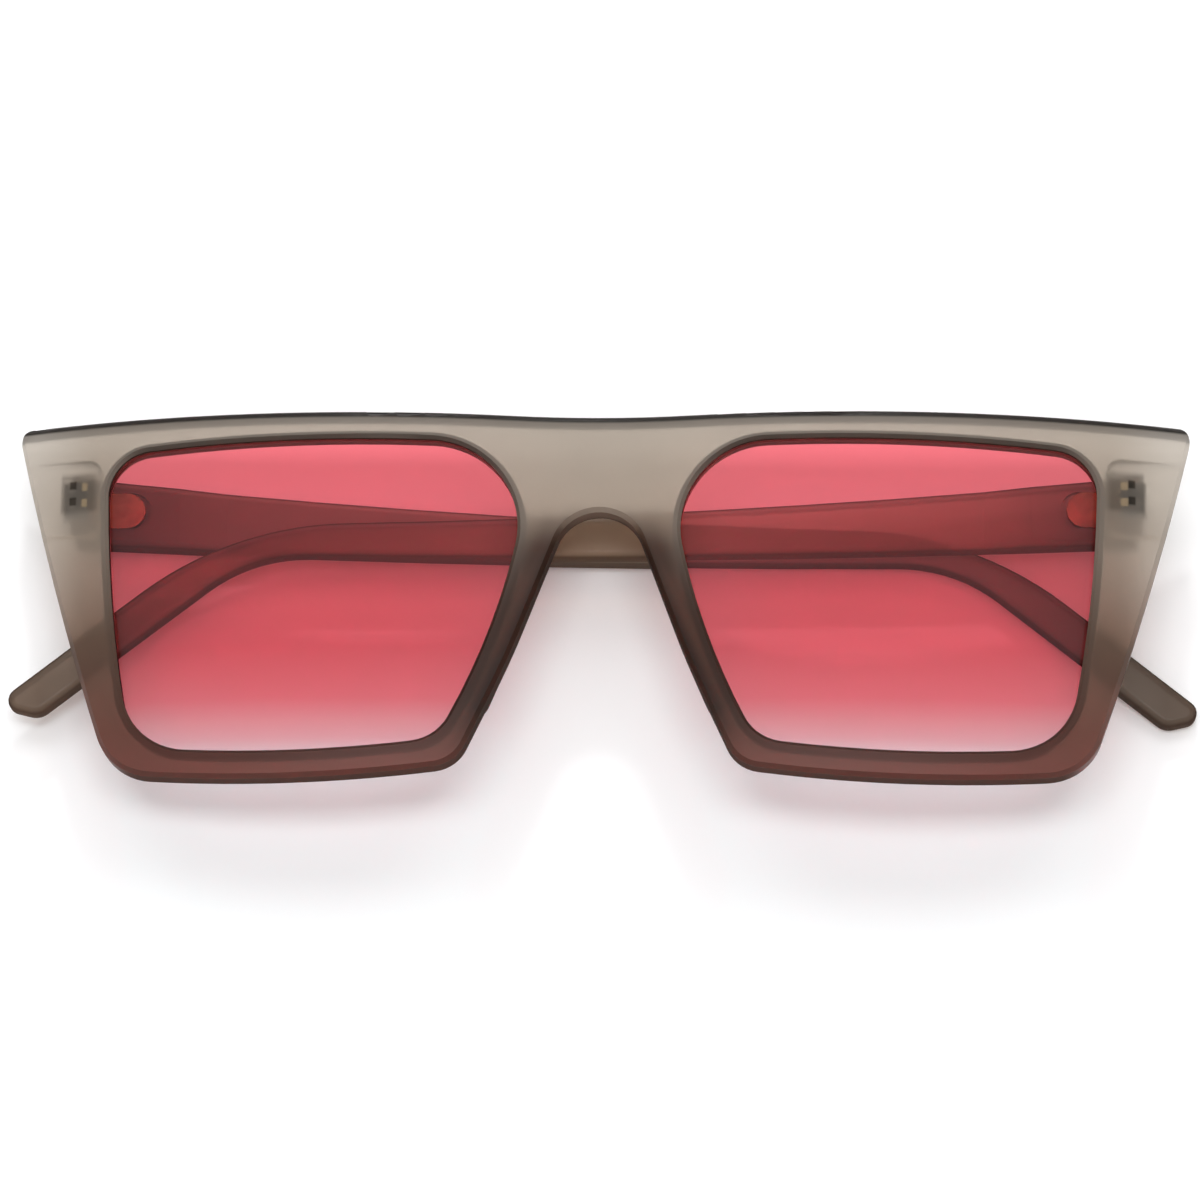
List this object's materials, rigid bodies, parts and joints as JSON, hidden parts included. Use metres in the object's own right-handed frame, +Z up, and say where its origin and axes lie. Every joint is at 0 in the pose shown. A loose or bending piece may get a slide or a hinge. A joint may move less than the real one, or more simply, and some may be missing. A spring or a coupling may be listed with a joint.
{
  "type": "sunglasses",
  "caption": "Flat top sunglasses with a wide translucent frame, tinted lenses in grooves and folding temples on barrel hinges, lying folded on the outer face of one temple.",
  "frame": {"origin": "on the ground under the middle of the folded glasses' bounding box, which lie on the outer face of the right temple", "axes": "+X towards the wearer's left end of the front, +Y from the bottom rims to the brow, +Z up, out through the lenses"},
  "size_m": [0.1502, 0.0472, 0.0208],
  "materials": {
    "frame": "frosted translucent smoke grey moulding with polished edges",
    "lens": "clear tint, deep rose at the top fading to nearly clear at the bottom",
    "hinge_metal": "bright pale gold plating",
    "screw_metal": "bright turned steel"
  },
  "bodies": {
    "front": {"frame_front": "frame", "lens_left": "lens", "lens_right": "lens", "front_hinge_left": "hinge_metal", "front_hinge_right": "hinge_metal", "hinge_screw_left": "screw_metal", "hinge_screw_right": "screw_metal"},
    "temple_left": {"temple_left": "frame", "temple_hinge_left": "hinge_metal"},
    "temple_right": {"temple_right": "frame", "temple_hinge_right": "hinge_metal"}
  },
  "joints": [
    {"name": "hinge_left", "type": "hinge", "parent": "front", "child": "temple_left", "pos_m": [0.06618, 0.01466, 0.00782], "axis": [0, -1, 0], "range_deg": [0, 91.26]},
    {"name": "hinge_right", "type": "hinge", "parent": "front", "child": "temple_right", "pos_m": [-0.06618, 0.01466, 0.0049], "axis": [0, 1, 0], "range_deg": [0, 88.73]}
  ]
}
